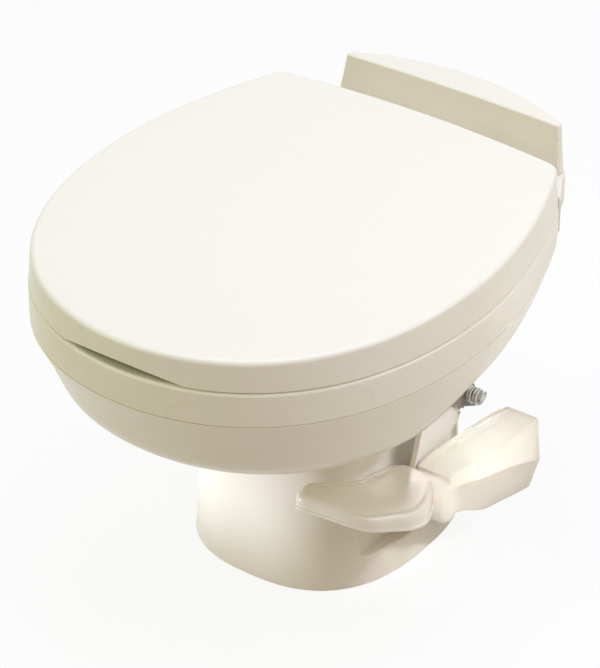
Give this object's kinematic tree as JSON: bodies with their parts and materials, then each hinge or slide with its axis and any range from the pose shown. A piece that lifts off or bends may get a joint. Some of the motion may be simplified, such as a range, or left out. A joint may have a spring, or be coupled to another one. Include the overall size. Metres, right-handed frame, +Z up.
{
  "type": "rv toilet",
  "caption": "Low free-standing RV toilet with hinged lid and seat, oval bowl on a pedestal, raised back cover and foot pedals that turn a ball valve through gears.",
  "frame": {"origin": "on the floor under the middle of the whole toilet", "axes": "+Z up, -Y towards the front of the seat, +X towards the side with the foot pedals"},
  "size_m": [0.3862, 0.5059, 0.3436],
  "materials": {
    "shell_plastic": "glossy moulded plastic, warm white",
    "basin_plastic": "glossy moulded plastic, warm white",
    "seat_plastic": "glossy moulded plastic, warm white",
    "pedal_plastic": "glossy moulded plastic, warm white",
    "gear_plastic": "moulded nylon, off white",
    "valve_plastic": "moulded plastic, dark grey",
    "bracket_plastic": "moulded plastic, black",
    "seal_rubber": "soft black rubber",
    "bumper_rubber": "soft pale rubber",
    "steel": "plain steel",
    "brass": "machined brass"
  },
  "bodies": {
    "toilet_base": {"outer_shell": "shell_plastic", "pedestal": "shell_plastic", "back_cover": "shell_plastic", "basin": "basin_plastic", "throat_ring": "basin_plastic", "hinge_post_left": "seat_plastic", "hinge_post_right": "seat_plastic", "drive_bush": "gear_plastic", "mechanism_housing": "valve_plastic", "outlet_tube": "valve_plastic", "base_plate": "valve_plastic", "water_valve_body": "valve_plastic", "vacuum_breaker": "valve_plastic", "breaker_cap": "valve_plastic", "rim_nozzle": "valve_plastic", "drive_bracket": "bracket_plastic", "bowl_seal": "seal_rubber", "floor_seal": "seal_rubber", "inlet_hose": "seal_rubber", "supply_hose": "seal_rubber", "nozzle_hose": "seal_rubber", "pedal_shaft": "steel", "shaft_clip": "steel", "return_spring": "steel", "water_spring": "steel", "hinge_pin_left": "steel", "hinge_pin_right": "steel", "body_screw_front_left": "steel", "body_screw_front_right": "steel", "body_screw_rear_left": "steel", "body_screw_rear_right": "steel", "cover_screw_left": "steel", "cover_screw_right": "steel", "closet_bolt_front": "brass", "closet_bolt_rear": "brass", "closet_nut_front": "brass", "closet_nut_rear": "brass", "inlet_nipple": "brass"},
    "seat_body": {"seat": "seat_plastic", "seat_bumper_front": "bumper_rubber", "seat_bumper_left": "bumper_rubber", "seat_bumper_right": "bumper_rubber"},
    "lid_body": {"lid": "seat_plastic", "lid_bumper_front": "bumper_rubber", "lid_bumper_left": "bumper_rubber", "lid_bumper_right": "bumper_rubber"},
    "flush_pedal_body": {"flush_pedal": "pedal_plastic", "sector_gear": "gear_plastic", "gear_screw_lower": "steel", "gear_screw_upper": "steel"},
    "water_pedal_body": {"water_pedal": "pedal_plastic"},
    "drive_body": {"drive_shaft": "steel", "pinion": "gear_plastic", "transfer_gear": "gear_plastic", "drive_clip": "steel"},
    "ball_body": {"ball_valve": "valve_plastic", "ball_gear": "gear_plastic"},
    "plunger_body": {"valve_plunger": "brass"},
    "float_body": {"breaker_float": "seal_rubber"}
  },
  "joints": [
    {"name": "seat_hinge", "type": "hinge", "parent": "toilet_base", "child": "seat_body", "pos_m": [0, 0.185, 0.3175], "axis": [1, 0, 0], "range_deg": [-97, 0]},
    {"name": "lid_hinge", "type": "hinge", "parent": "seat_body", "child": "lid_body", "pos_m": [0, 0.185, 0.3175], "axis": [-1, 0, 0], "range_deg": [0, 100]},
    {"name": "flush_pedal_hinge", "type": "hinge", "parent": "toilet_base", "child": "flush_pedal_body", "pos_m": [0.12, 0.016, 0.078], "axis": [-1, 0, 0], "range_deg": [0, 20], "stiffness_Nm_per_rad": 2, "springref_deg": -28.65},
    {"name": "water_pedal_hinge", "type": "hinge", "parent": "toilet_base", "child": "water_pedal_body", "pos_m": [0.09, 0.016, 0.078], "axis": [1, 0, 0], "range_deg": [0, 15], "stiffness_Nm_per_rad": 1.5, "springref_deg": -22.92},
    {"name": "drive_shaft_spin", "type": "hinge", "parent": "toilet_base", "child": "drive_body", "pos_m": [0.1, 0.08961, 0.13868], "axis": [-1, 0, 0], "range_deg": [-98, 0]},
    {"name": "ball_turn", "type": "hinge", "parent": "toilet_base", "child": "ball_body", "pos_m": [0, 0.0377, 0.13322], "axis": [-1, 0, 0], "range_deg": [0, 98]},
    {"name": "plunger_push", "type": "slide", "parent": "toilet_base", "child": "plunger_body", "axis": [0, 1, 0], "range_m": [0, 0.006]},
    {"name": "float_rise", "type": "slide", "parent": "toilet_base", "child": "float_body", "axis": [0, 0, 1], "range_m": [0, 0.003]}
  ],
  "couplings": [
    {"joint": "drive_shaft_spin", "follows": "flush_pedal_hinge", "ratio": -4.8889},
    {"joint": "ball_turn", "follows": "flush_pedal_hinge", "ratio": 4.8889},
    {"joint": "plunger_push", "follows": "water_pedal_hinge", "m_per_rad": 0.022}
  ]
}
